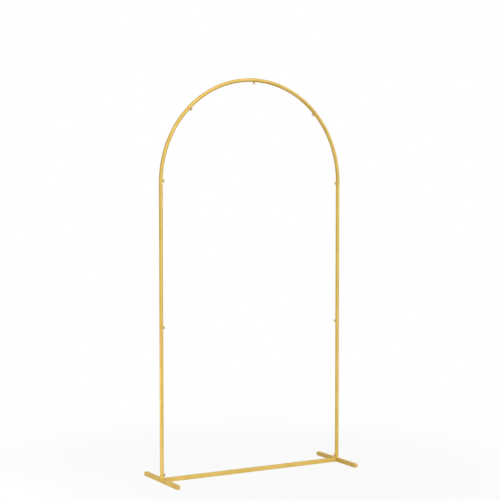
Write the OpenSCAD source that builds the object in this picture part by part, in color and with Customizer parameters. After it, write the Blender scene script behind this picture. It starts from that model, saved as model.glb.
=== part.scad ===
// Knock-down wedding arch: two posts and a semicircular top of round steel tube, on a
// floor rail and two cross feet of square tube. Each tube slides onto the reduced end
// (spigot) of the one before it, from the left foot over the crown to the right foot.
// Millimetres. Origin on the floor, midway between the posts. X runs along the arch,
// -Y is the front and Z is up.

/* [Overall size] */
// Height from the floor to the top of the crown
arch_h = 2000; // [1700:10:2400]
// Distance between the centre lines of the two posts
post_spacing = 1025; // [800:5:1400]
// Height of the lower length of each post, from its foot to the next joint
lower_post_l = 738; // [500:1:880]

/* [Round tube] */
// Outside diameter of the tube of the posts and the arch
tube_d = 19; // [16:0.5:21]
// Wall of the round tube
tube_wall = 1.2; // [0.8:0.1:2]

/* [Tube joints] */
// Length of the spigot that goes into the next tube
spigot_l = 32; // [24:1:45]
// Length of the taper between the tube and its spigot
taper_l = 4; // [2:0.5:8]
// Clearance all round between a spigot and the bore it fits
spigot_gap = 0.15; // [0.1:0.05:0.4]
// Lead-in chamfer at the tip of a spigot
spigot_chamfer = 0.5; // [0.2:0.1:0.7]
// Distance of the cross bolt from the seam that it holds
bolt_offset = 9; // [7:0.5:18]
// Diameter of the hole for the cross bolt
bolt_hole_d = 5.5; // [4.5:0.1:6.5]

/* [Feet and rail] */
// Length of the tube of a foot, from front to back
foot_l = 362; // [280:2:600]
// Side of the square tube of the feet and the rail
bar_side = 20; // [20:0.5:30]
// Wall of the square tube
bar_wall = 1.2; // [1:0.1:2]
// Outside corner radius of the square tube
bar_corner_r = 2; // [1.5:0.1:3]

/* [Stubs and rail spigots] */
// Height of the post's stub above the top of the foot
stub_h = 40; // [30:1:60]
// Wall of the stub
stub_wall = 1.5; // [1:0.1:2]
// Clearance round the stub in the hole of the foot
stub_hole_gap = 0.1; // [0.05:0.05:0.3]
// Height of the lowest cross bolt above the top of the foot
base_bolt_h = 15; // [9:0.5:20]
// Length of the square spigot that carries an end of the rail
rail_spigot_l = 35; // [20:1:60]
// Wall of the square spigot
rail_spigot_wall = 1.5; // [1:0.1:2.5]
// Clearance all round between the square spigot and the rail
rail_spigot_gap = 0.2; // [0.1:0.05:0.4]

/* [End caps] */
// Thickness of the head of a cap, over the end of the tube
cap_head_t = 4; // [3:0.5:8]
// Length of the plug inside the tube
cap_plug_l = 12; // [8:1:25]
// Wall of the plug
cap_plug_wall = 1.6; // [1:0.1:3]
// Clearance all round between the plug and the tube
cap_gap = 0.15; // [0.1:0.05:0.3]

/* [Hidden] */
$fn = 96;

tube_r = tube_d / 2;
tube_bore_r = tube_r - tube_wall;
spigot_r = tube_bore_r - spigot_gap;
spigot_bore_r = spigot_r - tube_wall;
arch_r = post_spacing / 2;
spring_z = arch_h - tube_r - arch_r;
mid_joint_z = bar_side + lower_post_l;
bar_bore = bar_side - 2 * bar_wall;
bar_bore_r = bar_corner_r - bar_wall;
rail_l = post_spacing - bar_side;
rail_spigot_side = bar_bore - 2 * rail_spigot_gap;
cap_plug_side = bar_bore - 2 * cap_gap;
arc_step = 45;
bent_tip_l = 2 * spigot_chamfer;
spigot_angle = arch_angle(spigot_l - bent_tip_l);
taper_angle = arch_angle(taper_l);
bolt_angle = arch_angle(bolt_offset);
cut_over = 1;
taper_run_on = 1.2;
gold = "#dbc574";

// Angle that a length takes up along the centre line of the arch
function arch_angle(length) = length / arch_r * 180 / PI;

// Round-cornered square, centred
module round_square(side, r) {
  square([side, side - 2 * r], center = true);
  square([side - 2 * r, side], center = true);
  for (x = [-1, 1], y = [-1, 1])
    translate([x * (side / 2 - r), y * (side / 2 - r)])
      circle(r);
}

// Square tube section, centred
module bar_section() {
  difference() {
    round_square(bar_side, bar_corner_r);
    round_square(bar_bore, bar_bore_r);
  }
}

// Tube of length l from z = 0 up, with its spigot standing above it
module spigot_tube(l) {
  tip = l + spigot_l;
  rotate_extrude()
    polygon([
      [tube_bore_r, 0], [tube_r, 0], [tube_r, l - taper_l], [spigot_r, l],
      [spigot_r, tip - spigot_chamfer], [spigot_r - spigot_chamfer, tip],
      [spigot_bore_r, tip], [spigot_bore_r, l], [tube_bore_r, l - taper_l]
    ]);
}

// Upright bar from z = 0 up, whose taper from radius r1 reaches r2 at height l and runs on
module necked_bar(l, r1, r2) {
  neck = l - taper_l;
  rotate_extrude()
    polygon([
      [0, 0], [r1, 0], [r1, neck],
      [r1 - (r1 - r2) * taper_run_on, neck + taper_l * taper_run_on],
      [0, neck + taper_l * taper_run_on]
    ]);
}

// Round bar of radius r bent round the arch's centre, from angle high down to angle low
module arch_bar(r, high, low) {
  translate([0, 0, spring_z])
    rotate([90, 0, 0])
      rotate([0, 0, low])
        rotate_extrude(angle = high - low, $fn = 360)
          translate([arch_r, 0])
            circle(r);
}

// Places its children on the arch at an angle, with Z along the tube and clockwise
module on_arch(angle) {
  translate([0, 0, spring_z])
    rotate([0, -angle, 0])
      translate([arch_r, 0, 0])
        rotate([180, 0, 0])
          children();
}

// Cone along the tube from an angle of the arch: it falls from radius r1 to r2 in the
// taper's length, and runs on inside the spigot so that the two surfaces cross cleanly
module arch_taper(angle, r1, r2) {
  on_arch(angle)
    cylinder(h = taper_l * taper_run_on, r1 = r1, r2 = r1 - (r1 - r2) * taper_run_on);
}

// Solid spigot along the arch from angle high to angle end, and its straight tip beyond
module spigot_solid(high, end, tip_l) {
  arch_bar(spigot_r, high, end);
  on_arch(end)
    rotate_extrude()
      polygon([
        [0, 0], [spigot_r, 0], [spigot_r, tip_l - spigot_chamfer],
        [spigot_r - spigot_chamfer, tip_l], [0, tip_l]
      ]);
}

// Bore of such a spigot, open past its tip
module spigot_bore(high, end, tip_l) {
  arch_bar(spigot_bore_r, high, end);
  on_arch(end)
    cylinder(h = tip_l + cut_over, r = spigot_bore_r);
}

// Hole for a cross bolt through a bent tube, along the radius of the arch
module arch_bolt_hole(angle) {
  on_arch(angle)
    rotate([0, 90, 0])
      cylinder(h = tube_d + 2 * cut_over, d = bolt_hole_d, center = true);
}

// Hole for a cross bolt through an upright tube, at height z
module post_bolt_hole(z) {
  translate([0, 0, z])
    rotate([0, 90, 0])
      cylinder(h = tube_d + 2 * cut_over, d = bolt_hole_d, center = true);
}

// Bent tube between two seams of the arch. Past its lower seam stands its spigot, which
// follows the arch as far as angle end and then runs straight for tip_l
module arc_tube(high, end, tip_l) {
  low = high - arc_step;
  neck = low + taper_angle;
  difference() {
    union() {
      arch_bar(tube_r, high, neck);
      arch_taper(neck, tube_r, spigot_r);
      spigot_solid(neck, end, tip_l);
    }
    arch_bar(tube_bore_r, high + taper_angle, neck);
    arch_taper(neck, tube_bore_r, spigot_bore_r);
    spigot_bore(neck, end, tip_l);
    arch_bolt_hole(high - bolt_angle);
    arch_bolt_hole(low - bolt_angle);
  }
}

// Bent tube whose spigot follows the arch to its tip, inside the next bent tube
module bent_spigot_arc(high) {
  arc_tube(high, high - arc_step - spigot_angle, bent_tip_l);
}

// Foot: square tube from front to back, with a hole in its top for the post's stub
module foot() {
  difference() {
    translate([0, foot_l / 2, bar_side / 2])
      rotate([90, 0, 0])
        linear_extrude(foot_l)
          bar_section();
    translate([0, 0, bar_wall])
      cylinder(h = bar_side, r = spigot_r + stub_hole_gap);
  }
}

// Head of a cap: a slab with round corners and a round rim at its outer face
module cap_head() {
  r = bar_corner_r;
  inset = bar_side / 2 - r;
  linear_extrude(cap_head_t - r)
    round_square(bar_side, r);
  linear_extrude(cap_head_t)
    square(bar_side - 2 * r, center = true);
  for (turn = [0, 90, 180, 270])
    rotate([0, 0, turn]) {
      translate([inset, 0, cap_head_t - r])
        rotate([90, 0, 0])
          cylinder(h = 2 * inset, r = r, center = true);
      translate([inset, inset, cap_head_t - r])
        sphere(r);
    }
}

// Cap for the front end of a foot: its head, and a hollow plug inside the tube
module foot_cap() {
  translate([0, -foot_l / 2, bar_side / 2])
    rotate([90, 0, 0]) {
      cap_head();
      translate([0, 0, -cap_plug_l])
        linear_extrude(cap_plug_l)
          difference() {
            round_square(cap_plug_side, bar_bore_r);
            square(cap_plug_side - 2 * cap_plug_wall, center = true);
          }
    }
}

// Stub that a post slides over: it stands on the floor of the foot's tube
module post_stub() {
  top = bar_side + stub_h;
  difference() {
    rotate_extrude()
      polygon([
        [spigot_r - stub_wall, bar_wall], [spigot_r, bar_wall],
        [spigot_r, top - spigot_chamfer], [spigot_r - spigot_chamfer, top],
        [spigot_r - stub_wall, top]
      ]);
    post_bolt_hole(bar_side + base_bolt_h);
  }
}

// Square spigot on the right face of a foot, for the left end of the rail
module rail_spigot() {
  translate([bar_side / 2, 0, bar_side / 2])
    rotate([0, 90, 0])
      linear_extrude(rail_spigot_l)
        difference() {
          round_square(rail_spigot_side, bar_bore_r);
          square(rail_spigot_side - 2 * rail_spigot_wall, center = true);
        }
}

// Puts a piece of the left side in its place, with its own X = 0 on the post's centre line
module at_left() {
  translate([-post_spacing / 2, 0, 0])
    children();
}

// The same piece on the right side, turned end for end so that its inner side stays inner
module at_right() {
  translate([post_spacing / 2, 0, 0])
    rotate([0, 0, 180])
      children();
}

module left_foot() {
  color(gold) at_left() foot();
}

module right_foot() {
  color(gold) at_right() foot();
}

module left_foot_front_cap() {
  color(gold) at_left() foot_cap();
}

module left_foot_back_cap() {
  color(gold) at_left() rotate([0, 0, 180]) foot_cap();
}

module right_foot_front_cap() {
  color(gold) at_right() rotate([0, 0, 180]) foot_cap();
}

module right_foot_back_cap() {
  color(gold) at_right() foot_cap();
}

module left_post_stub() {
  color(gold) at_left() post_stub();
}

module right_post_stub() {
  color(gold) at_right() post_stub();
}

module left_rail_spigot() {
  color(gold) at_left() rail_spigot();
}

module right_rail_spigot() {
  color(gold) at_right() rail_spigot();
}

// Rail between the inner faces of the feet, flat on the floor
module bottom_rail() {
  color(gold)
    translate([-rail_l / 2, 0, bar_side / 2])
      rotate([0, 90, 0])
        linear_extrude(rail_l)
          bar_section();
}

// Lower length of the left post: over the stub below, with its spigot on top
module left_lower_post() {
  color(gold)
    at_left()
      difference() {
        translate([0, 0, bar_side])
          spigot_tube(lower_post_l);
        post_bolt_hole(bar_side + base_bolt_h);
        post_bolt_hole(mid_joint_z + bolt_offset);
      }
}

// Upper length of the left post: its spigot is bent to follow the arch
module left_upper_post() {
  l = spring_z - mid_joint_z;
  end = 180 - spigot_angle;
  color(gold)
    difference() {
      union() {
        on_arch(180)
          translate([0, 0, -l])
            necked_bar(l, tube_r, spigot_r);
        spigot_solid(180 + taper_angle, end, bent_tip_l);
      }
      on_arch(180)
        translate([0, 0, -l - cut_over])
          necked_bar(l + cut_over, tube_bore_r, spigot_bore_r);
      spigot_bore(180 + taper_angle, end, bent_tip_l);
      arch_bolt_hole(180 - bolt_angle);
      at_left()
        post_bolt_hole(mid_joint_z + bolt_offset);
    }
}

// Upper length of the right post: open on top, with its spigot pointing down
module right_upper_post() {
  color(gold)
    at_right()
      difference() {
        translate([0, 0, spring_z])
          mirror([0, 0, 1])
            spigot_tube(spring_z - mid_joint_z);
        post_bolt_hole(spring_z - bolt_offset);
        post_bolt_hole(mid_joint_z - bolt_offset);
      }
}

// Lower length of the right post: open at both ends
module right_lower_post() {
  color(gold)
    at_right()
      difference() {
        translate([0, 0, bar_side])
          linear_extrude(lower_post_l)
            difference() {
              circle(tube_r);
              circle(tube_bore_r);
            }
        post_bolt_hole(bar_side + base_bolt_h);
        post_bolt_hole(mid_joint_z - bolt_offset);
      }
}

module left_lower_arc() {
  color(gold) bent_spigot_arc(180);
}

module left_upper_arc() {
  color(gold) bent_spigot_arc(180 - arc_step);
}

module right_upper_arc() {
  color(gold) bent_spigot_arc(180 - 2 * arc_step);
}

// Last length of the arch: its spigot runs straight down into the right post
module right_lower_arc() {
  color(gold) arc_tube(arc_step, 0, spigot_l);
}

left_foot();
right_foot();
left_foot_front_cap();
left_foot_back_cap();
right_foot_front_cap();
right_foot_back_cap();
left_post_stub();
right_post_stub();
left_rail_spigot();
right_rail_spigot();
bottom_rail();
left_lower_post();
left_upper_post();
right_upper_post();
right_lower_post();
left_lower_arc();
left_upper_arc();
right_upper_arc();
right_lower_arc();
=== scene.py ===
"""Looks of a knock-down wedding arch: the satin gold coat of its tubes, the moulded caps of
its feet, and the plated cross bolts and wing nuts that hold its nine tube joints.

The packed frame is loaded first and stays as it is. Metres, in the frame's own axes: X runs
along the arch, -Y is the front and Z is up.
"""

import math

import bmesh
import bpy
from bpy.props import (
    FloatProperty,
    FloatVectorProperty,
    IntProperty,
    PointerProperty,
)
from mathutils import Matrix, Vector


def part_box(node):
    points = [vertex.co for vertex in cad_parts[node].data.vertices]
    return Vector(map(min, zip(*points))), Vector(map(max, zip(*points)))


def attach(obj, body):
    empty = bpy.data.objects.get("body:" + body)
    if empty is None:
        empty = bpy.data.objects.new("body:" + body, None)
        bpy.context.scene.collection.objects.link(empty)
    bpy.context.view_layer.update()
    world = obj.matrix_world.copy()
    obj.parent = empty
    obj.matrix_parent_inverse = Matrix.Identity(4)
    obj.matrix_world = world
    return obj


bl_info = {
    "name": "Wedding Arch",
    "version": (1, 0, 0),
    "blender": (4, 5, 0),
    "location": "3D View > Sidebar > Wedding Arch",
    "description": "Finishes the frame of a wedding arch and adds its bolts and wing nuts",
    "category": "Object",
}

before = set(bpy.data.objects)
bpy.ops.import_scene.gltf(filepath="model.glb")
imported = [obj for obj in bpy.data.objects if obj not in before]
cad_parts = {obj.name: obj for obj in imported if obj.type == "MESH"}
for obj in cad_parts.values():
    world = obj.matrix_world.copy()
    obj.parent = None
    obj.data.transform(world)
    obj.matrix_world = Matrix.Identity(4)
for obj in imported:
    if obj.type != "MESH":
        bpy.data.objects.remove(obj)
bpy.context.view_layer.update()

BODY = "root"
MM = 0.001
ROUND_TUBES = [
    f"{side}_{piece}"
    for side in ("left", "right")
    for piece in ("post_stub", "lower_post", "upper_post", "lower_arc", "upper_arc")
]
SQUARE_TUBES = ["left_foot", "right_foot", "bottom_rail", "left_rail_spigot", "right_rail_spigot"]
CAPS = [f"{side}_foot_{end}_cap" for side in ("left", "right") for end in ("front", "back")]

# What the CAD frame gives: the arch's radius, the tube's, the foot's top and the seams' heights.
# The arch is four bent tubes, each an eighth of a circle
POST_LOW, POST_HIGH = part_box("right_lower_post")
ARCH_R = (POST_LOW.x + POST_HIGH.x) / 2
TUBE_R = (POST_HIGH.x - POST_LOW.x) / 2
FOOT_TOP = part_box("left_foot")[1].z
MID_SEAM_Z = POST_HIGH.z
SPRING_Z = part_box("left_lower_arc")[0].z
ARC_TUBES = 4
ARC_STEP = math.radians(45)

# Settings that all colours have in common, and those of all shares
COLOUR = {"subtype": "COLOR", "size": 3, "min": 0, "max": 1}
SHARE = {"subtype": "FACTOR", "min": 0, "max": 1}


# Sizes and colours that a user would change


class TubeJoints(bpy.types.PropertyGroup):
    """Where the cross bolts sit"""

    bolt_offset: FloatProperty(
        name="Bolt offset",
        description="Distance of a cross bolt from the seam that it holds",
        default=9 * MM,
        min=7 * MM,
        max=18 * MM,
        unit="LENGTH",
    )
    base_bolt_height: FloatProperty(
        name="Base bolt height",
        description="Height of the lowest cross bolts above the top of the foot",
        default=15 * MM,
        min=9 * MM,
        max=20 * MM,
        unit="LENGTH",
    )


class CrossBolt(bpy.types.PropertyGroup):
    """Thin-headed screw with a cross recess, through both walls of a tube joint"""

    thread_d: FloatProperty(
        name="Thread diameter",
        description="Outside diameter of the thread",
        default=4.9 * MM,
        unit="LENGTH",
    )
    pitch: FloatProperty(
        name="Pitch",
        description="Distance from one turn of the thread to the next",
        default=0.8 * MM,
        unit="LENGTH",
    )
    length: FloatProperty(
        name="Length",
        description="Length under the head",
        default=28 * MM,
        unit="LENGTH",
    )
    thread_l: FloatProperty(
        name="Threaded length",
        description="Length of the thread, measured from the tip",
        default=14 * MM,
        unit="LENGTH",
    )
    head_d: FloatProperty(
        name="Head diameter",
        description="Diameter of the thin head",
        default=8.6 * MM,
        unit="LENGTH",
    )
    head_h: FloatProperty(
        name="Head height",
        description="Height of the thin head",
        default=1.7 * MM,
        unit="LENGTH",
    )
    recess_span: FloatProperty(
        name="Recess span",
        description="Width of the cross recess from tip to tip",
        default=4.4 * MM,
        unit="LENGTH",
    )
    recess_depth: FloatProperty(
        name="Recess depth",
        description="Depth of the cross recess",
        default=1.1 * MM,
        unit="LENGTH",
    )


class WingNut(bpy.types.PropertyGroup):
    """Cast wing nut with two raised ears"""

    base_d: FloatProperty(
        name="Base diameter",
        description="Diameter of the hub where it sits on the tube",
        default=10 * MM,
        unit="LENGTH",
    )
    top_d: FloatProperty(
        name="Top diameter",
        description="Diameter of the hub at its top",
        default=8.4 * MM,
        unit="LENGTH",
    )
    hub_h: FloatProperty(
        name="Hub height",
        description="Height of the hub",
        default=6 * MM,
        unit="LENGTH",
    )
    span: FloatProperty(
        name="Span",
        description="Width across the tips of the ears",
        default=20.5 * MM,
        unit="LENGTH",
    )
    height: FloatProperty(
        name="Height",
        description="Height of the ears above the tube",
        default=11.5 * MM,
        unit="LENGTH",
    )
    ear_t: FloatProperty(
        name="Ear thickness",
        description="Thickness of an ear at its root",
        default=2.8 * MM,
        unit="LENGTH",
    )
    bore_d: FloatProperty(
        name="Bore",
        description="Diameter of the threaded hole at the thread's crests",
        default=5 * MM,
        unit="LENGTH",
    )
    spin: FloatProperty(
        name="Spin",
        description="How far a tightened nut may stop short of the tube's direction, either way",
        default=math.radians(9),
        subtype="ANGLE",
    )
    seed: IntProperty(
        name="Seed",
        description="Seed of the spins",
        default=4,
    )


class GoldCoat(bpy.types.PropertyGroup):
    """Satin gold powder coat of the tubes"""

    light: FloatVectorProperty(
        name="Light gold",
        description="Colour of the coat where the flake lies flat",
        default=(0.79, 0.555, 0.145),
        **COLOUR,
    )
    deep: FloatVectorProperty(
        name="Deep gold",
        description="Colour of the coat where it is thicker",
        default=(0.73, 0.495, 0.115),
        **COLOUR,
    )
    rubbed: FloatVectorProperty(
        name="Rubbed gold",
        description="Colour of the coat where the tubes rub when they are pushed together",
        default=(0.80, 0.66, 0.32),
        **COLOUR,
    )
    metallic: FloatProperty(
        name="Metallic",
        description="Share of metal flake in the coat",
        default=0.28,
        **SHARE,
    )
    roughness: FloatProperty(
        name="Roughness",
        description="Mean roughness of the coat",
        default=0.46,
        **SHARE,
    )
    peel_w: FloatProperty(
        name="Orange peel width",
        description="Distance from one ripple of the coat to the next",
        default=1.6 * MM,
        unit="LENGTH",
    )
    peel_h: FloatProperty(
        name="Orange peel height",
        description="Height of the ripples of the coat",
        default=0.02 * MM,
        unit="LENGTH",
        precision=6,
    )
    flake_w: FloatProperty(
        name="Flake size",
        description="Width of the metal flakes",
        default=0.35 * MM,
        unit="LENGTH",
        precision=6,
    )
    rub_w: FloatProperty(
        name="Rub width",
        description="Width of the rubbed ring on either side of a seam",
        default=3 * MM,
        unit="LENGTH",
    )


class CapMoulding(bpy.types.PropertyGroup):
    """Moulded plastic of the foot caps"""

    colour: FloatVectorProperty(
        name="Cap gold",
        description="Colour of the pigmented plastic",
        default=(0.80, 0.545, 0.145),
        **COLOUR,
    )
    flow: FloatVectorProperty(
        name="Flow gold",
        description="Colour of the streaks where the pigment turned as the mould filled",
        default=(0.71, 0.465, 0.11),
        **COLOUR,
    )
    roughness: FloatProperty(
        name="Roughness",
        description="Mean roughness of the moulded skin",
        default=0.32,
        **SHARE,
    )
    grain_w: FloatProperty(
        name="Grain size",
        description="Width of the mould's spark grain",
        default=0.4 * MM,
        unit="LENGTH",
        precision=6,
    )


class Plating(bpy.types.PropertyGroup):
    """Yellow plating of the fasteners"""

    dull: FloatVectorProperty(
        name="Dull brass",
        description="Colour of the plating in recesses and on untouched faces",
        default=(0.47, 0.33, 0.14),
        **COLOUR,
    )
    bright: FloatVectorProperty(
        name="Bright brass",
        description="Colour of the plating where fingers and tools polish it",
        default=(0.70, 0.53, 0.25),
        **COLOUR,
    )
    roughness: FloatProperty(
        name="Roughness",
        description="Mean roughness of the plating",
        default=0.34,
        **SHARE,
    )


class Studio(bpy.types.PropertyGroup):
    """Camera, lamps and floor"""

    camera_at: FloatVectorProperty(
        name="Camera position",
        description="Where the camera stands",
        default=(-3.4598, -6.1283, 1.5377),
        subtype="TRANSLATION",
        unit="LENGTH",
        size=3,
    )
    camera_down: FloatProperty(
        name="Camera tilt",
        description="How far the camera looks down",
        default=math.radians(3.282),
        subtype="ANGLE",
    )
    camera_turn: FloatProperty(
        name="Camera turn",
        description="How far the camera is turned to the right of straight on",
        default=math.radians(29.35),
        subtype="ANGLE",
    )
    lens: FloatProperty(
        name="Lens",
        description="Focal length in millimetres, on a sensor 36 mm wide",
        default=100.15,
        subtype="DISTANCE_CAMERA",
    )
    floor_r: FloatProperty(
        name="Floor radius",
        description="Radius of the round floor",
        default=6,
        unit="LENGTH",
    )
    lift: FloatProperty(
        name="Floor lift",
        description="Share of plain white in the floor under the object, to keep its shadow pale",
        default=0.88,
        **SHARE,
    )
    fade_from: FloatProperty(
        name="Fade from",
        description="Distance from the middle at which the floor begins to fade to white",
        default=0.75,
        unit="LENGTH",
    )
    fade_to: FloatProperty(
        name="Fade to",
        description="Distance from the middle at which the floor is pure white",
        default=2.0,
        unit="LENGTH",
    )
    fill: FloatProperty(
        name="Fill",
        description="Light that reaches the object from all round",
        default=0.31,
        **SHARE,
    )
    key_strength: FloatProperty(
        name="Key lamp",
        description="Light of the large distant lamp above the front, in watts per square metre",
        default=2.0,
        min=0,
    )
    low_power: FloatProperty(
        name="Low lamp",
        description="Power of the small softbox on the left, which lights the sides of the feet",
        default=5.5,
        unit="POWER",
    )


PROPERTY_GROUPS = {
    "arch_joints": TubeJoints,
    "arch_bolt": CrossBolt,
    "arch_wing_nut": WingNut,
    "arch_coat": GoldCoat,
    "arch_caps": CapMoulding,
    "arch_plating": Plating,
    "arch_studio": Studio,
}


# Node helpers


def feed(tree, socket, value):
    """Links an input to the output of another node, or sets its value"""
    if isinstance(value, bpy.types.NodeSocket):
        tree.links.new(value, socket)
    else:
        socket.default_value = value


def add_node(tree, kind, inputs=None, **settings):
    """New node with its settings and its inputs, each a value or another node's output"""
    node = tree.nodes.new(kind)
    for name, value in settings.items():
        setattr(node, name, value)
    for key, value in (inputs or {}).items():
        feed(tree, node.inputs[key], value)
    return node


def maths(tree, operation, *values):
    """Output of a Math node"""
    inputs = dict(enumerate(values))
    return add_node(tree, "ShaderNodeMath", inputs, operation=operation).outputs[0]


def ramp(tree, value, low, high, to_low=0.0, to_high=1.0):
    """Output of a smooth Map Range from low..high to to_low..to_high"""
    ends = {
        "Value": value,
        "From Min": low,
        "From Max": high,
        "To Min": to_low,
        "To Max": to_high,
    }
    return add_node(tree, "ShaderNodeMapRange", ends, interpolation_type="SMOOTHSTEP").outputs[0]


def blend(tree, factor, a, b, blend_type="MIX"):
    """Output of a colour mix of a and b"""
    node = add_node(tree, "ShaderNodeMix", {0: factor}, data_type="RGBA", blend_type=blend_type)
    for socket, colour in ((node.inputs[6], a), (node.inputs[7], b)):
        linked = isinstance(colour, bpy.types.NodeSocket)
        feed(tree, socket, colour if linked else (*colour, 1))
    return node.outputs[2]


def noise(tree, where, width, detail=2.0, distortion=0.0):
    """Noise whose ripples are about this wide, from 0 to 1"""
    inputs = {"Vector": where, "Scale": 1 / width, "Detail": detail, "Distortion": distortion}
    return add_node(tree, "ShaderNodeTexNoise", inputs).outputs[0]


def bump(tree, relief, height, under=None):
    """Normals of a relief this high, on the plain surface or on another bump's normals"""
    inputs = {"Height": relief, "Distance": height, "Strength": 1.0}
    if under is not None:
        inputs["Normal"] = under
    return add_node(tree, "ShaderNodeBump", inputs).outputs[0]


def roughness(tree, value, levels, mean, spread):
    """Roughness that goes from one end of its spread about the mean to the other"""
    return ramp(tree, value, *levels, mean + spread[0], mean + spread[1])


def cleared_tree(owner):
    """Node tree of a material or a world, emptied"""
    owner.use_nodes = True
    owner.node_tree.nodes.clear()
    return owner.node_tree


def new_material(name):
    """Empty material: (material, its tree)"""
    material = bpy.data.materials.new(name)
    return material, cleared_tree(material)


def add_surface(tree, inputs):
    """Ends the tree of a material with a Principled shader that has these inputs"""
    shader = add_node(tree, "ShaderNodeBsdfPrincipled", inputs)
    add_node(tree, "ShaderNodeOutputMaterial", {"Surface": shader.outputs[0]})


def object_coordinates(tree):
    """Place of a surface point in the frame's own axes"""
    return add_node(tree, "ShaderNodeTexCoord").outputs["Object"]


# Finishes

# Widths (W) and heights (H) of patches and grain. Two levels bound a patch in its noise, and a
# spread is what the mean roughness gains at the lower and at the upper level

# Coat: slow changes of tone, smears in its roughness, and flakes, each with a painted glint that
# lightens or darkens its colour
TONE_W = 90 * MM
TONE_LEVELS = (0.35, 0.65)
SMEAR_W = 30 * MM
SMEAR_LEVELS = (0.3, 0.7)
COAT_SPREAD = (-0.05, 0.06)
FLAKE_PAINTED_GLINT = (0.97, 1.03)
FLAKE_H = 0.004 * MM

# Rubbed ring: the fully rubbed width on either side of a seam, its scuffs, and how far a full
# rub turns the colour and lowers the roughness
BARE_RING_W = 0.4 * MM
SCUFF_W = 1.2 * MM
SCUFF_LEVELS = (0.42, 0.62)
RUB_COLOUR = 0.6
RUB_POLISH = 0.1

# Caps: streaks of pigment with their twist, patches in the roughness, and the mould's grain
SWIRL_W = 9 * MM
SWIRL_TWIST = 1.4
SWIRL_LEVELS = (0.35, 0.7)
CAP_PATCH_W = 6 * MM
CAP_PATCH_LEVELS = (0.3, 0.7)
CAP_SPREAD = (-0.05, 0.07)
SPARK_H = 0.015 * MM

# Plating: patches that stay dull, and the levels from dull to bright of handling plus patch
DULL_PATCH_W = 2.5 * MM
SHINE_LEVELS = (0.55, 1.35)
PLATING_SPREAD = (0.1, -0.08)


def seam_distance(tree, where):
    """Distance along the tube to the nearest seam of the posts and the arch"""
    x, _, z = add_node(tree, "ShaderNodeSeparateXYZ", {0: where}).outputs
    above = maths(tree, "SUBTRACT", z, SPRING_Z)
    turned = maths(tree, "ARCTAN2", above, maths(tree, "ABSOLUTE", x))
    round_arch = maths(tree, "MULTIPLY", turned, ARCH_R)
    on_arc = maths(tree, "PINGPONG", round_arch, ARCH_R * ARC_STEP / 2)
    on_post = maths(tree, "ABSOLUTE", above)
    for seam_z in (MID_SEAM_Z, FOOT_TOP):
        from_seam = maths(tree, "ABSOLUTE", maths(tree, "SUBTRACT", z, seam_z))
        on_post = maths(tree, "MINIMUM", on_post, from_seam)
    over_spring = maths(tree, "GREATER_THAN", above, 0.0)
    choice = {0: over_spring, 2: on_post, 3: on_arc}
    return add_node(tree, "ShaderNodeMix", choice, data_type="FLOAT").outputs[0]


def gold_coat(name, coat, seams):
    """Satin gold powder coat: flake with a painted glint in its colour, orange peel, slow tone
    changes, and rubbed rings at seams
    """
    material, tree = new_material(name)
    where = object_coordinates(tree)
    tone = ramp(tree, noise(tree, where, TONE_W, detail=3), *TONE_LEVELS)
    colour = blend(tree, tone, coat.deep, coat.light)
    cells = add_node(tree, "ShaderNodeTexVoronoi", {"Vector": where, "Scale": 1 / coat.flake_w})
    flake = add_node(tree, "ShaderNodeSeparateColor", {0: cells.outputs["Color"]}).outputs[0]
    # Painted glint: each flake's cell makes the coat's colour a little lighter or darker
    painted_glint = ramp(tree, flake, 0.0, 1.0, *FLAKE_PAINTED_GLINT)
    painted_glint_grey = add_node(tree, "ShaderNodeCombineColor", {0: painted_glint, 1: painted_glint, 2: painted_glint}).outputs[0]
    colour = blend(tree, 1.0, colour, painted_glint_grey, "MULTIPLY")
    smear = noise(tree, where, SMEAR_W, detail=4)
    rough = roughness(tree, smear, SMEAR_LEVELS, coat.roughness, COAT_SPREAD)
    if seams:
        ring = ramp(tree, seam_distance(tree, where), coat.rub_w, BARE_RING_W)
        scuffs = ramp(tree, noise(tree, where, SCUFF_W, detail=4), *SCUFF_LEVELS)
        rub = maths(tree, "MULTIPLY", ring, scuffs)
        colour = blend(tree, maths(tree, "MULTIPLY", rub, RUB_COLOUR), colour, coat.rubbed)
        rough = maths(tree, "SUBTRACT", rough, maths(tree, "MULTIPLY", rub, RUB_POLISH))
    peel = bump(tree, noise(tree, where, coat.peel_w, detail=1.5), coat.peel_h)
    add_surface(
        tree,
        {
            "Base Color": colour,
            "Roughness": rough,
            "Normal": bump(tree, flake, FLAKE_H, under=peel),
            "Metallic": coat.metallic,
            "Specular IOR Level": 0.3,
            "Specular Tint": (1.0, 0.78, 0.4, 1),
        },
    )
    return material


def cap_plastic(name, moulding):
    """Pigmented gold plastic: streaks of pigment and the fine grain of the mould"""
    material, tree = new_material(name)
    where = object_coordinates(tree)
    swirl = noise(tree, where, SWIRL_W, distortion=SWIRL_TWIST)
    patches = noise(tree, where, CAP_PATCH_W, detail=3)
    spark = noise(tree, where, moulding.grain_w)
    add_surface(
        tree,
        {
            "Base Color": blend(
                tree, ramp(tree, swirl, *SWIRL_LEVELS), moulding.colour, moulding.flow
            ),
            "Roughness": roughness(
                tree, patches, CAP_PATCH_LEVELS, moulding.roughness, CAP_SPREAD
            ),
            "Normal": bump(tree, spark, SPARK_H),
            "Metallic": 0.25,
        },
    )
    return material


def plated_metal(name, plating, grain_w, grain_h):
    """Yellow plated metal, duller where nothing touches it, with the grain of its blank"""
    material, tree = new_material(name)
    where = object_coordinates(tree)
    handled = add_node(tree, "ShaderNodeAttribute", attribute_name="handled").outputs["Fac"]
    patches = noise(tree, where, DULL_PATCH_W, detail=4)
    shine = ramp(tree, maths(tree, "ADD", handled, patches), *SHINE_LEVELS)
    grain = noise(tree, where, grain_w, detail=3)
    add_surface(
        tree,
        {
            "Base Color": blend(tree, shine, plating.dull, plating.bright),
            "Roughness": roughness(tree, shine, (0.0, 1.0), plating.roughness, PLATING_SPREAD),
            "Normal": bump(tree, grain, grain_h),
            "Metallic": 1.0,
        },
    )
    return material


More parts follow.
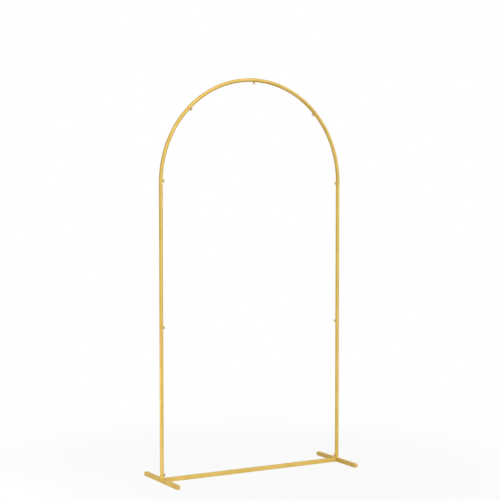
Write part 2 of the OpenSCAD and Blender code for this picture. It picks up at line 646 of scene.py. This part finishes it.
def paint(names, material):
    """Gives nodes of the frame their material"""
    for name in names:
        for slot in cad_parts[name].material_slots:
            slot.material = material


# Shapes

# Rolled thread, in pitches: depth, widths of the ridge and free length at the tip. The ridge
# grows from its thin end to full size over the turns of its run-out
THREAD_DEPTH = 0.54
THREAD_ROOT_W = 1.5
THREAD_CREST_W = 0.14
THREAD_TIP_GAP = 0.8
THREAD_RUN_OUT = 0.7
THREAD_THIN_END = 0.05
THREAD_STEPS = 32

# Cross bolt: the rim's share of the head's height, the power that flattens its dome, the
# chamfer's share of the core, and small steps of the turned form
HEAD_RIM = 0.35
DOME_POWER = 0.8
DOME_STEPS = 10
TIP_CHAMFER = 0.25
SEAT_EDGE = 0.15 * MM
SHANK_STEP = 0.3 * MM
SHARP_ANGLE = math.radians(35)

# Cross recess: how far its punch starts outside the head, how much wider than the span it is
# there, an arm's width as a share of the span, and the floor's shares of reach and width
PUNCH_LEAD = 1 * MM
PUNCH_FLARE = 1.16
ARM_WIDTH = 0.13
FLOOR_REACH = 0.42
FLOOR_WIDTH = 0.75

# Wing nut: edges and steps of the hub, the two circles of an ear, how deep its root circle sits
# in the hub and at what share of its height, and what share of its thickness an ear has lost at
# its top
HUB_EDGE = 0.5 * MM
HUB_COLLAR_H = 1.3 * MM
HUB_SHOULDER_H = 2.1 * MM
HUB_SHOULDER_W = 0.2 * MM
EAR_ROOT_R = 2.7 * MM
EAR_TIP_R = 2.2 * MM
EAR_SINK = 1.2 * MM
EAR_ROOT_HEIGHT = 0.52
EAR_STEPS = 14
EAR_THINNING = 0.3

# Dished face of an ear, from its middle to its edge: (step in of the outline, depth)
EAR_FACE = ((1.1 * MM, 0.35 * MM), (0.75 * MM, 0), (0.35 * MM, 0), (0, 0.35 * MM))

# How much fingers and tools polish the bolt, and the power that keeps an ear's polish at its tip
HEAD_HANDLED = 0.8
THREAD_HANDLED = 0.2
EAR_HANDLED_POWER = 1.5


def lathe(mesh, profile, steps=48, closed=False):
    """Turns a profile of (radius, height) points round Z. A closed one leaves a bore"""
    rings = []
    for radius, height in profile:
        turns = range(steps) if radius else range(1)
        rings.append([
            mesh.verts.new((
                radius * math.cos(math.tau * k / steps),
                radius * math.sin(math.tau * k / steps),
                height,
            ))
            for k in turns
        ])
    pairs = list(zip(rings, rings[1:] + rings[:1]))
    for low, high in pairs if closed else pairs[:-1]:
        for k in range(steps):
            corners = [
                low[k % len(low)],
                low[(k + 1) % len(low)],
                high[(k + 1) % len(high)],
                high[k % len(high)],
            ]
            mesh.faces.new(list(dict.fromkeys(corners)))


def arc_points(centre, radius, start, end, steps):
    """Points of an arc in a plane, from one angle to another"""
    return [
        (
            centre[0] + radius * math.cos(start + (end - start) * k / steps),
            centre[1] + radius * math.sin(start + (end - start) * k / steps),
        )
        for k in range(steps + 1)
    ]


def finished_mesh(name, mesh):
    """Closes a bmesh with its faces outward and returns it as an object in the scene"""
    bmesh.ops.remove_doubles(mesh, verts=mesh.verts, dist=1e-7)
    bmesh.ops.recalc_face_normals(mesh, faces=mesh.faces)
    data = bpy.data.meshes.new(name)
    mesh.to_mesh(data)
    mesh.free()
    piece = bpy.data.objects.new(name, data)
    bpy.context.scene.collection.objects.link(piece)
    return piece


def modified(piece, *modifiers):
    """Adds modifiers, each a kind with settings, and makes their result the piece's own mesh"""
    for kind, settings in modifiers:
        modifier = piece.modifiers.new(kind.title(), kind)
        for name, value in settings.items():
            setattr(modifier, name, value)
    evaluated = piece.evaluated_get(bpy.context.evaluated_depsgraph_get())
    result = bpy.data.meshes.new_from_object(evaluated)
    result.name = piece.name
    piece.modifiers.clear()
    piece.data = result


def grown(piece, tree, values):
    """Runs a geometry tree on a piece, with these named inputs, and keeps the plain mesh"""
    modifier = piece.modifiers.new(tree.name, "NODES")
    modifier.node_group = tree
    for item in tree.interface.items_tree:
        if item.item_type == "SOCKET" and item.in_out == "INPUT" and item.name in values:
            modifier[item.identifier] = values[item.name]
    modified(piece)


def geometry_tree(name, sockets):
    """Empty geometry tree with named inputs: (tree, group input, group output)"""
    tree = bpy.data.node_groups.new(name, "GeometryNodeTree")
    face = tree.interface
    face.new_socket("Geometry", in_out="INPUT", socket_type="NodeSocketGeometry")
    for label, kind in sockets.items():
        face.new_socket(label, in_out="INPUT", socket_type=f"NodeSocket{kind}")
    face.new_socket("Geometry", in_out="OUTPUT", socket_type="NodeSocketGeometry")
    start = tree.nodes.new("NodeGroupInput")
    end = tree.nodes.new("NodeGroupOutput")
    return tree, start.outputs, end.inputs


def finish_tree(tree, geometry, material, end):
    """Realizes what a geometry tree made, gives it its material and sends it out"""
    real = add_node(tree, "GeometryNodeRealizeInstances", {0: geometry}).outputs[0]
    painted = add_node(tree, "GeometryNodeSetMaterial", {"Geometry": real, "Material": material})
    tree.links.new(painted.outputs[0], end[0])


def thread_tree():
    """Winds a thread round Z: a ridge swept along a helix, tapering out at both its ends"""
    tree, start, end = geometry_tree(
        "Screw thread",
        {
            "Core Radius": "Float",
            "Depth": "Float",
            "Pitch": "Float",
            "Turns": "Float",
            "First Turn": "Float",
            "Material": "Material",
        },
    )
    helix = add_node(
        tree,
        "GeometryNodeCurveSpiral",
        {
            "Resolution": THREAD_STEPS,
            "Rotations": start["Turns"],
            "Start Radius": start["Core Radius"],
            "End Radius": start["Core Radius"],
            "Height": maths(tree, "MULTIPLY", start["Pitch"], start["Turns"]),
            "Reverse": True,
        },
    ).outputs[0]
    upright = add_node(tree, "GeometryNodeSetCurveNormal", {0: helix}, mode="Z_UP").outputs[0]
    # The profile of the ridge is centred on the core's surface, so half of it lies inside
    ridge = add_node(
        tree,
        "GeometryNodeCurvePrimitiveQuadrilateral",
        {
            "Height": maths(tree, "MULTIPLY", start["Depth"], 2.0),
            "Bottom Width": maths(tree, "MULTIPLY", start["Pitch"], THREAD_ROOT_W),
            "Top Width": maths(tree, "MULTIPLY", start["Pitch"], THREAD_CREST_W),
            "Offset": 0.0,
        },
        mode="TRAPEZOID",
    ).outputs[0]
    outward = add_node(
        tree, "GeometryNodeTransform", {"Geometry": ridge, "Rotation": (0, 0, -math.pi / 2)}
    ).outputs[0]
    along = add_node(tree, "GeometryNodeSplineParameter").outputs["Factor"]
    from_end = maths(tree, "PINGPONG", along, 0.5)
    turns_in = maths(tree, "MULTIPLY", from_end, start["Turns"])
    run_out = ramp(tree, turns_in, 0.0, THREAD_RUN_OUT, THREAD_THIN_END)
    swept = add_node(
        tree,
        "GeometryNodeCurveToMesh",
        {"Curve": upright, "Profile Curve": outward, "Scale": run_out, "Fill Caps": True},
    ).outputs[0]
    lift = add_node(tree, "ShaderNodeCombineXYZ", {2: start["First Turn"]}).outputs[0]
    placed = add_node(
        tree, "GeometryNodeTransform", {"Geometry": swept, "Translation": lift}
    ).outputs[0]
    both = tree.nodes.new("GeometryNodeJoinGeometry")
    tree.links.new(placed, both.inputs[0])
    tree.links.new(start["Geometry"], both.inputs[0])
    finish_tree(tree, both.outputs[0], start["Material"], end)
    return tree


def joint_tree():
    """Sets a copy of a part on every joint: Z points to the nut side and X along the tube"""
    tree, start, end = geometry_tree(
        "Parts on joints",
        {"Part": "Object", "Spin": "Float", "Seed": "Int", "Material": "Material"},
    )
    part = add_node(tree, "GeometryNodeObjectInfo", {"Object": start["Part"]}).outputs["Geometry"]
    nut_side, tube_run = (
        add_node(
            tree, "GeometryNodeInputNamedAttribute", {"Name": name}, data_type="FLOAT_VECTOR"
        ).outputs["Attribute"]
        for name in ("nut_side", "tube_run")
    )
    facing = add_node(
        tree,
        "FunctionNodeAxesToRotation",
        {"Primary Axis": nut_side, "Secondary Axis": tube_run},
        primary_axis="Z",
        secondary_axis="X",
    ).outputs[0]
    spread = add_node(tree, "FunctionNodeRandomValue", {"Seed": start["Seed"]}, data_type="FLOAT")
    tree.links.new(maths(tree, "MULTIPLY", start["Spin"], -1.0), spread.inputs[2])
    tree.links.new(start["Spin"], spread.inputs[3])
    turn = add_node(
        tree, "FunctionNodeAxisAngleToRotation", {"Axis": (0, 0, 1), "Angle": spread.outputs[1]}
    ).outputs[0]
    turned = add_node(
        tree,
        "FunctionNodeRotateRotation",
        {"Rotation": facing, "Rotate By": turn},
        rotation_space="LOCAL",
    ).outputs[0]
    copies = add_node(
        tree,
        "GeometryNodeInstanceOnPoints",
        {"Points": start["Geometry"], "Instance": part, "Rotation": turned},
    ).outputs[0]
    finish_tree(tree, copies, start["Material"], end)
    return tree


def joint_points(name, joints):
    """Object with one point at the middle of each cross bolt, and the two directions there"""
    # Spigots and stubs point up on the left half. On the right one only the foot's stub does, and
    # the spigots point down
    places = []
    for side in (-1, 1):
        mid_bolt = MID_SEAM_Z - side * joints.bolt_offset
        for z in (FOOT_TOP + joints.base_bolt_height, mid_bolt):
            places.append(((side * ARCH_R, 0, z), (-side, 0, 0), (0, 0, 1)))
    places.append(((ARCH_R, 0, SPRING_Z - joints.bolt_offset), (-1, 0, 0), (0, 0, 1)))
    for seam in range(1, ARC_TUBES + 1):
        angle = seam * ARC_STEP - joints.bolt_offset / ARCH_R
        out = Vector((math.cos(angle), 0, math.sin(angle)))
        along = Vector((math.sin(angle), 0, -math.cos(angle)))
        places.append((Vector((0, 0, SPRING_Z)) + ARCH_R * out, -out, along))
    mesh = bpy.data.meshes.new(name)
    mesh.from_pydata([place for place, _, _ in places], [], [])
    for label, column in (("nut_side", 1), ("tube_run", 2)):
        values = mesh.attributes.new(label, "FLOAT_VECTOR", "POINT")
        values.data.foreach_set("vector", [c for row in places for c in row[column]])
    points = bpy.data.objects.new(name, mesh)
    bpy.context.scene.collection.objects.link(points)
    return points


def note_handling(piece, handled):
    """Keeps how much fingers and tools polish each point, from 0 to 1"""
    mesh = piece.data
    values = mesh.attributes.new("handled", "FLOAT", "POINT")
    values.data.foreach_set("value", [handled(v.co) for v in mesh.vertices])


def set_on_joints(name, part, material, spin, seed):
    """Puts a part on all nine joints as one mesh that rides on the frame"""
    piece = joint_points(name, bpy.context.scene.arch_joints)
    values = {"Part": part, "Spin": spin, "Seed": seed, "Material": material}
    grown(piece, joint_tree(), values)
    bpy.data.objects.remove(part)
    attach(piece, BODY)


def bolt_blank(bolt):
    """Thin head on the -Z side of the tube, shank, and the core of the thread to the tip"""
    seat = -TUBE_R
    head_r = bolt.head_d / 2
    shank_r = bolt.thread_d / 2
    core_r = shank_r - bolt.pitch * THREAD_DEPTH
    rim_h = bolt.head_h * HEAD_RIM
    dome_h = bolt.head_h - rim_h
    tip = seat + bolt.length
    thread_start = tip - bolt.thread_l
    chamfer = core_r * TIP_CHAMFER
    dome = []
    for k in range(1, DOME_STEPS):
        turn = math.radians(k * 90 / DOME_STEPS)
        rise = dome_h * math.cos(turn) ** DOME_POWER
        dome.append((head_r * math.sin(turn), seat - rim_h - rise))
    mesh = bmesh.new()
    lathe(
        mesh,
        [
            (0, seat - bolt.head_h),
            *dome,
            (head_r, seat - rim_h),
            (head_r, seat - SEAT_EDGE),
            (head_r - SEAT_EDGE, seat),
            (shank_r, seat),
            (shank_r, thread_start - SHANK_STEP),
            (core_r, thread_start),
            (core_r, tip - chamfer),
            (core_r - chamfer, tip),
            (0, tip),
        ],
        steps=64,
    )
    return finished_mesh("bolt_blank", mesh)


def recess_cutter(bolt):
    """Cross-shaped punch that comes from outside the head and narrows towards the floor"""
    top = -TUBE_R - bolt.head_h
    half = bolt.recess_span / 2 * PUNCH_FLARE
    thick = bolt.recess_span * ARM_WIDTH
    ends = (
        (top - PUNCH_LEAD, half, thick),
        (top + bolt.recess_depth, half * FLOOR_REACH, thick * FLOOR_WIDTH),
    )
    mesh = bmesh.new()
    for turn in (0, math.pi / 2):
        corners = []
        for z, reach, width in ends:
            for x, y in ((-1, -1), (1, -1), (1, 1), (-1, 1)):
                px, py = x * reach, y * width
                corners.append(mesh.verts.new((
                    px * math.cos(turn) - py * math.sin(turn),
                    px * math.sin(turn) + py * math.cos(turn),
                    z,
                )))
        low, high = corners[:4], corners[4:]
        mesh.faces.new(low)
        mesh.faces.new(high)
        for k in range(4):
            mesh.faces.new((low[k], low[(k + 1) % 4], high[(k + 1) % 4], high[k]))
    return finished_mesh("recess_cutter", mesh)


def make_bolt(bolt, material):
    """One cross bolt on its joint's centre: head, cross recess, shank and rolled thread"""
    piece = bolt_blank(bolt)
    cutter = recess_cutter(bolt)
    cut = {"object": cutter, "operation": "DIFFERENCE", "solver": "EXACT", "use_self": True}
    modified(piece, ("BOOLEAN", cut))
    bpy.data.objects.remove(cutter)
    depth = bolt.pitch * THREAD_DEPTH
    turns = int(bolt.thread_l / bolt.pitch) - 1
    grown(
        piece,
        thread_tree(),
        {
            "Core Radius": bolt.thread_d / 2 - depth,
            "Depth": depth,
            "Pitch": bolt.pitch,
            "Turns": float(turns),
            "First Turn": bolt.length - TUBE_R - (turns + THREAD_TIP_GAP) * bolt.pitch,
            "Material": material,
        },
    )
    piece.data.shade_smooth()
    piece.data.set_sharp_from_angle(angle=SHARP_ANGLE)
    note_handling(piece, lambda p: HEAD_HANDLED if p.z < -TUBE_R else THREAD_HANDLED)
    return piece


def ear_outline(nut, inset):
    """Outline of an ear in X and Z: a tongue round a root circle on the hub and a tip circle"""
    root_r = EAR_ROOT_R - inset
    tip_r = EAR_TIP_R - inset
    root = Vector((nut.top_d / 2 - EAR_SINK, nut.hub_h * EAR_ROOT_HEIGHT))
    tip = Vector((nut.span / 2 - EAR_TIP_R, nut.height - EAR_TIP_R))
    run = tip - root
    heading = math.atan2(run.y, run.x)
    spread = math.acos((root_r - tip_r) / run.length)
    outer = arc_points(tip, tip_r, heading - spread, heading + spread, EAR_STEPS)
    inner = arc_points(root, root_r, heading + spread, heading + math.tau - spread, EAR_STEPS)
    return outer + inner[1:-1]


def add_ear(mesh, nut, side):
    """One ear of the wing nut, thinner towards its tip, with a shallow dish in each face"""
    face = [(nut.ear_t / 2 - depth, inset) for inset, depth in EAR_FACE]
    layers = [(-y, inset) for y, inset in face] + [(y, inset) for y, inset in reversed(face)]
    rings = []
    for y, inset in layers:
        ring = []
        for x, z in ear_outline(nut, inset):
            thin = 1 - EAR_THINNING * min(max(z / nut.height, 0), 1)
            ring.append(mesh.verts.new((side * x, y * thin, z)))
        rings.append(ring)
    for low, high in zip(rings, rings[1:]):
        for k in range(len(low)):
            j = (k + 1) % len(low)
            mesh.faces.new((low[k], low[j], high[j], high[k]))
    mesh.faces.new(rings[0])
    mesh.faces.new(rings[-1])


def make_wing_nut(nut):
    """One wing nut on its joint's centre: hub, bore and ears, fused and softened as a casting"""
    base_r, top_r, bore_r = nut.base_d / 2, nut.top_d / 2, nut.bore_d / 2
    mesh = bmesh.new()
    lathe(
        mesh,
        [
            (bore_r, 0),
            (base_r - HUB_EDGE, 0),
            (base_r, HUB_EDGE),
            (base_r, HUB_COLLAR_H),
            (top_r + HUB_SHOULDER_W, HUB_SHOULDER_H),
            (top_r, nut.hub_h - HUB_EDGE),
            (top_r - HUB_EDGE, nut.hub_h),
            (bore_r + HUB_EDGE, nut.hub_h),
            (bore_r, nut.hub_h - HUB_EDGE),
        ],
        closed=True,
    )
    for side in (-1, 1):
        add_ear(mesh, nut, side)
    piece = finished_mesh("wing_nut_casting", mesh)
    modified(
        piece,
        ("REMESH", {"mode": "VOXEL", "voxel_size": 0.3 * MM}),
        ("SMOOTH", {"factor": 0.5, "iterations": 4}),
    )
    for vertex in piece.data.vertices:
        vertex.co.z += TUBE_R
    piece.data.shade_smooth()
    reach = nut.span / 2
    note_handling(piece, lambda p: min(abs(p.x) / reach, 1.0) ** EAR_HANDLED_POWER)
    return piece


# Stage

# Sensor in millimetres, places of the lamps and of what they look at, and the spread of the key
# lamp's light
SENSOR_W = 36
KEY_AT = (0, -7, 5)
KEY_TARGET = (0, 0, 1)
KEY_SPREAD = math.radians(60)
LOW_AT = (-1.7, 0.1, 0.25)
LOW_TARGET = (-0.5, 0, 0)
LOW_SIZE = 0.5

# The floor lies a little under the feet, and throws less light back at them than the eye sees
FLOOR_DROP = 0.2 * MM
FLOOR_SIDES = 96
FLOOR_BOUNCE = (0.4, 0.4, 0.4)
FLOOR_SEEN = (0.95, 0.95, 0.95)
WHITE = (1, 1, 1, 1)


def aimed_lamp(name, kind, place, target, energy):
    """Lamp that looks at a point"""
    lamp = bpy.data.lights.new(name, kind)
    lamp.energy = energy
    holder = bpy.data.objects.new(name, lamp)
    bpy.context.scene.collection.objects.link(holder)
    holder.location = place
    holder.rotation_euler = (Vector(target) - Vector(place)).to_track_quat("-Z", "Y").to_euler()
    return lamp


def seen_directly(tree):
    """1 for what the camera sees, also in a reflection or through glass"""
    rays = add_node(tree, "ShaderNodeLightPath").outputs
    mirrored = maths(tree, "MAXIMUM", rays["Is Glossy Ray"], rays["Is Transmission Ray"])
    return maths(tree, "MAXIMUM", rays["Is Camera Ray"], mirrored)


def white_room(studio):
    """World that is white to look at and lights the object with the studio's fill"""
    world = bpy.data.worlds.new("studio_air")
    bpy.context.scene.world = world
    tree = cleared_tree(world)
    lit = add_node(tree, "ShaderNodeBackground", {"Color": WHITE, "Strength": studio.fill})
    white = add_node(tree, "ShaderNodeBackground", {"Color": WHITE, "Strength": 1.0})
    choice = {0: seen_directly(tree), 1: lit.outputs[0], 2: white.outputs[0]}
    mixed = add_node(tree, "ShaderNodeMixShader", choice)
    add_node(tree, "ShaderNodeOutputWorld", {"Surface": mixed.outputs[0]})


def floor_paint(studio):
    """Pale floor that keeps the object's shadow and fades to white away from it"""
    material, tree = new_material("studio_floor")
    where = object_coordinates(tree)
    distance = add_node(tree, "ShaderNodeVectorMath", {0: where}, operation="LENGTH").outputs[1]
    fade = ramp(tree, distance, studio.fade_from, studio.fade_to, studio.lift)
    seen = seen_directly(tree)
    shown = maths(tree, "MULTIPLY", fade, seen)
    colour = blend(tree, seen, FLOOR_BOUNCE, FLOOR_SEEN)
    pale = add_node(tree, "ShaderNodeBsdfDiffuse", {"Color": colour})
    white = add_node(tree, "ShaderNodeEmission", {"Color": WHITE, "Strength": 1.0})
    choice = {0: shown, 1: pale.outputs[0], 2: white.outputs[0]}
    mixed = add_node(tree, "ShaderNodeMixShader", choice)
    add_node(tree, "ShaderNodeOutputMaterial", {"Surface": mixed.outputs[0]})
    return material


# Operators


class WEDDINGARCH_OT_coat_tubes(bpy.types.Operator):
    """Gives the posts, the arch, the feet and the rail their satin gold coat"""

    bl_idname = "wedding_arch.coat_tubes"
    bl_label = "Coat Tubes"

    def execute(self, context):
        coat = context.scene.arch_coat
        paint(ROUND_TUBES, gold_coat("satin_gold_round_tube", coat, seams=True))
        paint(SQUARE_TUBES, gold_coat("satin_gold_square_tube", coat, seams=False))
        return {"FINISHED"}


class WEDDINGARCH_OT_finish_caps(bpy.types.Operator):
    """Gives the caps of the feet their moulded gold plastic"""

    bl_idname = "wedding_arch.finish_caps"
    bl_label = "Finish Caps"

    def execute(self, context):
        paint(CAPS, cap_plastic("moulded_gold_cap", context.scene.arch_caps))
        return {"FINISHED"}


class WEDDINGARCH_OT_add_cross_bolts(bpy.types.Operator):
    """Puts a cross bolt through each of the nine tube joints"""

    bl_idname = "wedding_arch.add_cross_bolts"
    bl_label = "Add Cross Bolts"

    def execute(self, context):
        plating = plated_metal(
            "plated_bolt", context.scene.arch_plating, grain_w=0.5 * MM, grain_h=0.004 * MM
        )
        bolt = make_bolt(context.scene.arch_bolt, plating)
        set_on_joints("cross_bolts", bolt, plating, spin=math.pi, seed=11)
        return {"FINISHED"}


class WEDDINGARCH_OT_add_wing_nuts(bpy.types.Operator):
    """Puts a wing nut on the inner side of each of the nine tube joints"""

    bl_idname = "wedding_arch.add_wing_nuts"
    bl_label = "Add Wing Nuts"

    def execute(self, context):
        nut = context.scene.arch_wing_nut
        casting = plated_metal(
            "plated_wing_nut", context.scene.arch_plating, grain_w=0.7 * MM, grain_h=0.02 * MM
        )
        set_on_joints("wing_nuts", make_wing_nut(nut), casting, nut.spin, nut.seed)
        return {"FINISHED"}


class WEDDINGARCH_OT_set_stage(bpy.types.Operator):
    """Sets the camera, the lamps, the white air and the pale floor"""

    bl_idname = "wedding_arch.set_stage"
    bl_label = "Set Stage"

    def execute(self, context):
        scene = context.scene
        studio = scene.arch_studio
        lens = bpy.data.cameras.new("studio_camera")
        lens.lens = studio.lens
        lens.sensor_width = SENSOR_W
        camera = bpy.data.objects.new("studio_camera", lens)
        scene.collection.objects.link(camera)
        camera.location = studio.camera_at
        camera.rotation_euler = (math.pi / 2 - studio.camera_down, 0, -studio.camera_turn)
        scene.camera = camera
        key = aimed_lamp("key_lamp", "SUN", KEY_AT, KEY_TARGET, studio.key_strength)
        key.angle = KEY_SPREAD
        low = aimed_lamp("low_lamp", "AREA", LOW_AT, LOW_TARGET, studio.low_power)
        low.size = LOW_SIZE
        white_room(studio)
        mesh = bmesh.new()
        bmesh.ops.create_circle(mesh, cap_ends=True, segments=FLOOR_SIDES, radius=studio.floor_r)
        floor = finished_mesh("studio_floor", mesh)
        for vertex in floor.data.vertices:
            vertex.co.z -= FLOOR_DROP
        floor.data.materials.append(floor_paint(studio))
        scene.view_settings.view_transform = "Standard"
        return {"FINISHED"}


STEPS = (
    WEDDINGARCH_OT_coat_tubes,
    WEDDINGARCH_OT_finish_caps,
    WEDDINGARCH_OT_add_cross_bolts,
    WEDDINGARCH_OT_add_wing_nuts,
    WEDDINGARCH_OT_set_stage,
)


class WEDDINGARCH_PT_steps(bpy.types.Panel):
    """Lists the steps that finish the arch, and the sizes and colours that they use"""

    bl_idname = "WEDDINGARCH_PT_steps"
    bl_label = "Wedding Arch"
    bl_space_type = "VIEW_3D"
    bl_region_type = "UI"
    bl_category = "Wedding Arch"

    def draw(self, context):
        for step in STEPS:
            self.layout.operator(step.bl_idname)
        for label, group in PROPERTY_GROUPS.items():
            box = self.layout.box()
            box.label(text=group.__doc__)
            for name in group.__annotations__:
                box.prop(getattr(context.scene, label), name)


def register():
    for label, group in PROPERTY_GROUPS.items():
        bpy.utils.register_class(group)
        setattr(bpy.types.Scene, label, PointerProperty(type=group))
    for step in STEPS:
        bpy.utils.register_class(step)
    bpy.utils.register_class(WEDDINGARCH_PT_steps)


def unregister():
    bpy.utils.unregister_class(WEDDINGARCH_PT_steps)
    for step in reversed(STEPS):
        bpy.utils.unregister_class(step)
    for label, group in reversed(PROPERTY_GROUPS.items()):
        delattr(bpy.types.Scene, label)
        bpy.utils.unregister_class(group)


def main():
    register()
    bpy.ops.wedding_arch.coat_tubes()
    bpy.ops.wedding_arch.finish_caps()
    bpy.ops.wedding_arch.add_cross_bolts()
    bpy.ops.wedding_arch.add_wing_nuts()
    bpy.ops.wedding_arch.set_stage()


if __name__ == "__main__":
    main()
